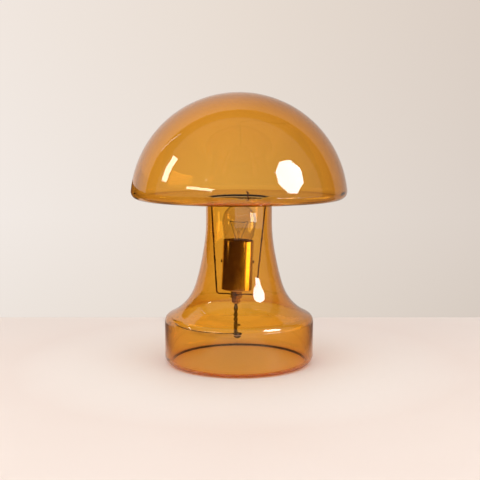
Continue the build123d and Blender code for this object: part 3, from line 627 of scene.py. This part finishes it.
# %% Porcelain, plastics and rubber
def moulded(name, colour, rough, grain, grain_scale, other=None, **more):
    """A moulded or fired material: fine grain, and slight changes of colour and gloss."""
    finish = Finish(name)
    fine = finish.noise(grain_scale, detail=3.0, rough=0.6)
    cloud = finish.noise(90.0, detail=3.0)
    return finish.surface(finish.principled(
        Base_Color=finish.mix(finish.spread(cloud, 0.35, 0.7), colour, other or colour),
        Roughness=finish.spread(fine + cloud, 0.8, 1.2, rough - 0.05, rough + 0.08),
        Normal=finish.bump(fine, grain),
        **more,
    ))


porcelain = moulded(
    "porcelain", (0.78, 0.75, 0.68, 1), 0.45, 0.00006, 1500.0, (0.70, 0.66, 0.58, 1)
)
cap_glass = moulded("cap_glass", (0.012, 0.012, 0.014, 1), 0.12, 0.00001, 600.0)
black_plastic = moulded(
    "black_plastic", (0.020, 0.020, 0.021, 1), 0.38, 0.00004, 2600.0, (0.026, 0.025, 0.025, 1)
)
gloss_plastic = moulded("gloss_plastic", (0.018, 0.018, 0.019, 1), 0.17, 0.00001, 1800.0)
soft_rubber = moulded(
    "soft_rubber", (0.024, 0.023, 0.022, 1), 0.55, 0.00005, 1700.0, (0.032, 0.030, 0.028, 1)
)
core_cover = moulded("core_cover", (0.17, 0.08, 0.035, 1), 0.42, 0.00002, 1500.0)
seat_silicone = moulded(
    "seat_silicone", (0.93, 0.90, 0.84, 1), 0.35, 0.00002, 900.0, Transmission_Weight=0.75, IOR=1.41
)
porcelain.dress("holder_cup", "contact_block", "holder_skirt")
cap_glass.dress("bulb_insulator")
black_plastic.dress("switch_base", "switch_cover", "plug_body", "plug_relief")
gloss_plastic.dress("switch_rocker")
soft_rubber.dress("cord_grommet")
core_cover.dress("lead_wires")
seat_silicone.dress("rim_gasket")

# %% [markdown]
# ## Textile
# The flex has a braided cover: two sets of yarns that cross. Two slanting waves on the
# UV map, multiplied, raise the small diamonds where one yarn lies over the other. The
# strap's weave is made in the same way, with waves of one length along and across it.

# %% Textile
def woven(name, dark, light, along, around, depth):
    """Yarns that cross, as bumps and as a slight change of colour."""
    finish = Finish(name)
    uv = finish.add("ShaderNodeUVMap", {"uv_map": "UVMap"})
    u = finish.add("ShaderNodeSeparateXYZ", None, {0: uv})
    v = u.output(1)
    one = finish.maths("SINE", u * along + v * around)
    other = finish.maths("SINE", u * along - v * around)
    yarn = one * other * 0.5 + 0.5
    fuzz = finish.noise(4200.0, detail=2.0)
    return finish.surface(finish.principled(
        Base_Color=finish.mix(finish.spread(yarn + fuzz * 0.6, 0.2, 1.2), dark, light),
        Roughness=finish.spread(fuzz, 0.3, 0.7, 0.72, 0.92),
        Normal=finish.bump(yarn + fuzz * 0.25, depth),
        Sheen_Weight=0.35,
        Sheen_Roughness=0.5,
    ))


BRAID_MM, BRAID_ROUND = 1.6, 8  # a wave's length along the flex, and waves once round it
WEAVE_MM = 0.9
flex_cover = woven(
    "flex_cover", (0.010, 0.009, 0.009, 1), (0.045, 0.042, 0.040, 1),
    along=2 * math.pi / BRAID_MM, around=2 * math.pi * BRAID_ROUND, depth=0.00016,
)
strap_weave = woven(
    "strap_weave", (0.012, 0.012, 0.013, 1), (0.050, 0.049, 0.050, 1),
    along=2 * math.pi / WEAVE_MM, around=2 * math.pi / WEAVE_MM, depth=0.00012,
)
flex_cover.dress(inner_flex, outer_flex)
strap_weave.dress(coil_strap)
print("finishes:", len(bpy.data.materials))

# %% [markdown]
# ## What rides where
# Each new piece rides on the body that carries it, and the solids that it stands for
# are hidden.

# %% Ride and replace
for piece in (inner_flex, outer_flex, coil_strap):
    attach(piece, "base")
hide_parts("inner_cord")
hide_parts("cord_lead", "cord_middle", "cord_coil", "cord_tail")
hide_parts("coil_tie")
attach(coiled_filament, "bulb")
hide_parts("bulb_filament")

# %% [markdown]
# ## Table
# Clear glass is mostly a picture of what stands behind it, so the pale table and wall
# matter as much as the glass. The table is slightly mottled, with a painted pool of light
# that makes it a little paler round the lamp, and a painted glow that lifts it towards
# its far edge where the eye or a refraction sees it. Light Path tells which kind of ray
# asks. Reflections see the table dark at both sides, because glass on a pale ground needs
# something dark beside it to show its edges.

# %% Table
TABLE_DROP = 0.0004  # keeps the table's top clear of the lamp's rim
WALL_Y, WALL_HEIGHT = 0.308, 2.6


def plate(name, width, depth, middle, upright=False):
    """A flat stage piece, lying or standing."""
    bm = bmesh.new()
    bmesh.ops.create_grid(bm, x_segments=1, y_segments=1, size=0.5)
    bmesh.ops.scale(bm, verts=bm.verts, vec=(width, depth, 1))
    if upright:
        bmesh.ops.rotate(bm, verts=bm.verts, matrix=Matrix.Rotation(math.radians(90), 3, "X"))
    bmesh.ops.translate(bm, verts=bm.verts, vec=middle)
    piece = made_piece(name, bm)
    return piece


def glowing(finish, colour):
    """A colour that is seen as it is, whatever the light."""
    return finish.add("ShaderNodeEmission", None, {"Color": colour, "Strength": 1.0})


table = plate("table", 7.0, 7.0, (0, 0, -TABLE_DROP))
wall = plate("wall", 7.0, WALL_HEIGHT, (0, WALL_Y, WALL_HEIGHT / 2 - TABLE_DROP), upright=True)

table_finish = Finish("table_top")
side = table_finish.add("ShaderNodeSeparateXYZ", None, {0: table_finish.place()})
depth = side.output(1)
mottle = table_finish.noise(6.0, detail=2.0)
mottled = table_finish.mix(mottle, srgb(244, 228, 215), srgb(241, 223, 209))
# painted light: a pale pool round the lamp
painted_light_near_lamp = table_finish.spread(side * side + depth * depth, 0.012, 0.10, 1.0, 0.0)
tone_with_painted_shading = table_finish.mix(painted_light_near_lamp, mottled, srgb(252, 244, 233))
top = table_finish.principled(Base_Color=tone_with_painted_shading, Roughness=0.6)
rays = table_finish.add("ShaderNodeLightPath", None, None, "Is Camera Ray")
seen = table_finish.maths("MAXIMUM", rays, rays.output("Is Transmission Ray"))
# painted light: a glow that lifts the table towards its far edge, for the eye and refractions
painted_far_glow = table_finish.spread(depth, 0.0, 0.30, 0.0, 0.17) * seen
top_with_painted_far_glow = table_finish.add(
    "ShaderNodeMixShader", None,
    {0: painted_far_glow, 1: top, 2: glowing(table_finish, srgb(240, 234, 228))},
)
off_side = table_finish.spread(table_finish.maths("ABSOLUTE", side), 0.13, 0.19, 0.0, 0.75)
table_finish.surface(table_finish.add(
    "ShaderNodeMixShader", None,
    {0: off_side * rays.output("Is Glossy Ray"), 1: top_with_painted_far_glow,
     2: glowing(table_finish, srgb(86, 62, 48))},
)).dress(table)

# %% [markdown]
# ## Wall
# The camera sees the wall's colour with painted light on it: paler at the left, darker at
# the right, and slightly darker at its foot.
# Reflections and refractions see it dimmed at the right and dark outside an ellipse,
# for the same reason as the table's sides. Lamps and soft light pass through the wall,
# and so does a camera that looks from behind.

# %% Wall
PALE_LEFT, PALE_HEIGHT, PALE_HALF_WIDTH = 0.10, 0.25, 0.90  # the ellipse, in m; half its height is 1

wall_finish = Finish("wall_paint")
side = wall_finish.add("ShaderNodeSeparateXYZ", None, {0: wall_finish.place()})
height = side.output(2)
# painted light: paler at the left and darker at the right
painted_side_light = wall_finish.ramp(
    wall_finish.spread(side, -0.42, 0.42),
    (0.0, srgb(242, 234, 228)), (0.5, srgb(233, 223, 214)), (1.0, srgb(220, 209, 200)),
)
# painted shade: slightly darker at the foot of the wall
painted_height_shade = wall_finish.ramp(
    wall_finish.spread(height, 0.0, 0.5),
    (0.0, srgb(250, 249, 247)), (0.35, srgb(255, 255, 255)), (1.0, srgb(254, 252, 250)),
)
paint_and_painted_light = wall_finish.add(
    "ShaderNodeMix", {"data_type": "RGBA", "blend_type": "MULTIPLY"},
    {0: 1.0, 6: painted_side_light, 7: painted_height_shade}, 2,
)
rays = wall_finish.add("ShaderNodeLightPath", None, None, "Is Camera Ray")
bent = wall_finish.maths(
    "MAXIMUM", rays.output("Is Glossy Ray"), rays.output("Is Transmission Ray")
)
across = (side + PALE_LEFT) * (1 / PALE_HALF_WIDTH)
rise = height - PALE_HEIGHT
outside = wall_finish.spread(across * across + rise * rise, 0.96, 1.06)
dim_right = wall_finish.spread(side, -0.02, 0.16, 0.0, 0.22)
dimmed = wall_finish.maths("MAXIMUM", outside, dim_right) * bent
from_behind = wall_finish.add("ShaderNodeNewGeometry", None, None, "Backfacing")
shown = wall_finish.maths("MAXIMUM", rays, bent) * (1 - from_behind)
wall_finish.surface(wall_finish.add(
    "ShaderNodeMixShader", None,
    {0: shown, 1: wall_finish.add("ShaderNodeBsdfTransparent"),
     2: glowing(wall_finish, wall_finish.mix(dimmed, paint_and_painted_light, srgb(112, 92, 78)))},
)).dress(wall)

# %% [markdown]
# ## Studio world
# A soft, slightly cool world lights everything evenly. Light Path makes it brighter
# where the camera or a refraction sees it, and for soft light.

# %% World
WORLD_LEVEL, SEEN_MORE, SOFT_MORE = 0.42, 0.32, 0.18

world = bpy.data.worlds.new("studio")
bpy.context.scene.world = world
world.use_nodes = True
sky, join = world.node_tree.nodes, world.node_tree.links
background = sky["Background"]
background.inputs["Color"].default_value = (0.95, 0.95, 1.0, 1)
path = sky.new("ShaderNodeLightPath")
either = sky.new("ShaderNodeMath")
either.operation = "MAXIMUM"
seen_level, level = sky.new("ShaderNodeMath"), sky.new("ShaderNodeMath")
seen_level.operation = level.operation = "MULTIPLY_ADD"
seen_level.inputs[1].default_value = SEEN_MORE
seen_level.inputs[2].default_value = WORLD_LEVEL
level.inputs[1].default_value = SOFT_MORE
join.new(path.outputs["Is Camera Ray"], either.inputs[0])
join.new(path.outputs["Is Transmission Ray"], either.inputs[1])
join.new(either.outputs[0], seen_level.inputs[0])
join.new(path.outputs["Is Diffuse Ray"], level.inputs[0])
join.new(seen_level.outputs[0], level.inputs[2])
join.new(level.outputs[0], background.inputs["Strength"])

# %% [markdown]
# ## Cards and screens
# What shines on glass is a picture of the room in front of it. Flat cards and curved
# screens stand in for that room. Neither the camera nor soft light sees them, and they
# cast no shadow. The eight-sided softbox at the front right shows as the bright patch
# on the dome. The window and the low bright line stand at the left, for the strips
# there. The dark screens, the flags, hide the pale world from the metal and from parts
# of the glass. All are placed for the picture's own view.

# %% Cards and screens
def staged(name, bm, glow, colour):
    """A stage piece of the mesh, its finish, and the glow that the finish is to show."""
    piece = made_piece(name, bm)
    piece.visible_camera = False
    piece.visible_diffuse = False
    piece.visible_shadow = False
    finish = Finish(name)
    shine = finish.add("ShaderNodeEmission", None, {"Color": colour, "Strength": glow})
    return piece, finish, shine


def card(name, corners, middle, towards, size, glow, colour=(1, 1, 1, 1), spin=0.0):
    """A flat glowing card that reflections show and refractions don't."""
    bm = bmesh.new()
    bmesh.ops.create_circle(bm, cap_ends=True, segments=corners, radius=0.5)
    start = math.pi / corners
    turn = Matrix.Rotation(start + math.radians(spin), 3, "Z")
    bmesh.ops.rotate(bm, verts=bm.verts, matrix=turn)
    fit = 1 / math.cos(start)
    bmesh.ops.scale(bm, verts=bm.verts, vec=(size[0] * fit, size[1] * fit, 1))
    facing = (Vector(towards) - Vector(middle)).to_track_quat("Z", "Y").to_matrix()
    bmesh.ops.rotate(bm, verts=bm.verts, matrix=facing)
    bmesh.ops.translate(bm, verts=bm.verts, vec=middle)
    piece, finish, shine = staged(name, bm, glow, colour)
    piece.visible_transmission = False
    finish.surface(shine).dress(piece)


def screen(name, azimuths, radius, heights, glow, colour=(1, 1, 1, 1), inside=True):
    """A curved screen that reflections show: those made inside the glass, or else those
    made outside it. Azimuths are in degrees, from straight in front to the right."""
    bm = bmesh.new()
    start = math.radians(azimuths[0])
    foot = Vector((radius * math.sin(start), -radius * math.cos(start), 0))
    ends = [bm.verts.new(foot + Vector((0, 0, height))) for height in heights]
    edge = bm.edges.new(ends)
    bmesh.ops.spin(
        bm, geom=[*ends, edge], cent=(0, 0, 0), axis=(0, 0, 1),
        angle=math.radians(azimuths[1] - azimuths[0]), steps=24,
    )
    piece, finish, shine = staged(name, bm, glow, colour)
    if not inside:
        piece.visible_transmission = False
        finish.surface(shine).dress(piece)
        return
    piece.visible_glossy = False
    reflected = finish.add("ShaderNodeLightPath", None, None, "Glossy Depth") > 0.5
    clear = finish.add("ShaderNodeBsdfTransparent")
    finish.surface(
        finish.add("ShaderNodeMixShader", None, {0: reflected, 1: clear, 2: shine})
    ).dress(piece)


NECK, DOME, LEFT = (0.02, -0.04, 0.20), (0.06, -0.13, 0.26), (-0.087, -0.11, 0.275)
LOW_LEFT = (-0.045, -0.137, 0.255)
WARM = (1, 0.92, 0.7, 1)
DARK, BROWN_BLACK = (0.05, 0.03, 0.02, 1), (0.030, 0.018, 0.010, 1)
card("softbox", 8, (0.765, -0.555, 0.645), DOME, (0.50, 0.51), 22.0, spin=7)
card("window", 4, (-1.17, -0.15, 0.78), LEFT, (0.17, 0.46), 16.0, (1, 0.93, 0.76, 1))
card(
    "bright_line", 4, (-0.82, -1.0, 0.565), LOW_LEFT, (0.66, 0.06), 16.0, (1, 0.94, 0.72, 1),
    spin=5,
)
card("glow_spot", 24, (-0.83, -1.22, 0.86), LEFT, (0.05, 0.05), 4.0, WARM)
card("glow_halo", 24, (-0.84, -1.24, 0.87), LEFT, (0.30, 0.34), 0.7, WARM)
card("edge_line", 4, (-0.61, 0.17, 0.75), (-0.05, -0.10, 0.28), (0.02, 0.25), 3.0)
card("low_window", 4, (0.92, -0.80, 0.055), NECK, (0.62, 0.10), 8.0)
screen("low_band", (-14, 90), 1.25, (0.01, 0.13), 1.3, (0.95, 0.92, 1.0, 1), inside=False)
screen("flag_left", (-130, -15), 0.25, (0.16, 0.252), 1.0, DARK, inside=False)
screen("flag_front", (-16, 30), 0.35, (0.20, 0.255), 1.0, DARK, inside=False)
screen("strip", (66, 102), 0.47, (0.0, 0.125), 4.5, (1, 0.96, 0.86, 1))
screen("bulb_spot_right", (42, 51), 0.46, (0.135, 0.175), 16.0)
screen("bulb_spot_left", (-79, -71), 0.46, (0.14, 0.175), 7.0)
screen("flag", (-150, 52), 0.50, (0.0, 0.34), 1.0, BROWN_BLACK)

# %% [markdown]
# ## Lamps
# Three round area lamps model the lamp's form and give it a soft shadow: two from the
# front and a wide one overhead. Reflections and refractions don't show them. Light
# crosses many glass surfaces on its way, so it may bounce often.

# %% Lamps
def area_lamp(name, place, towards, size, power, colour=(1, 1, 1)):
    """A round soft lamp that neither reflections nor refractions show."""
    data = bpy.data.lights.new(name, "AREA")
    data.shape = "DISK"
    data.size, data.energy, data.color = size, power, colour
    lamp = bpy.data.objects.new(name, data)
    lamp.location = place
    lamp.rotation_euler = (Vector(towards) - Vector(place)).to_track_quat("-Z", "Y").to_euler()
    lamp.visible_glossy = False
    lamp.visible_transmission = False
    bpy.context.scene.collection.objects.link(lamp)


area_lamp("front_right", (1.2, -1.35, 1.1), (0, 0, 0.1), 1.8, 8.0, (1.0, 0.98, 0.96))
area_lamp("front_left", (-1.2, -1.35, 1.1), (0, 0, 0.1), 1.8, 13.0, (0.98, 0.99, 1.0))
area_lamp("overhead", (0, -0.4, 2.6), (0, -0.4, 0), 3.0, 24.0)
print("lamps:", len(bpy.data.lights))

scene = bpy.context.scene
scene.view_settings.view_transform = "Standard"
scene.cycles.max_bounces = 14
scene.cycles.transmission_bounces = 14
scene.cycles.transparent_max_bounces = 32
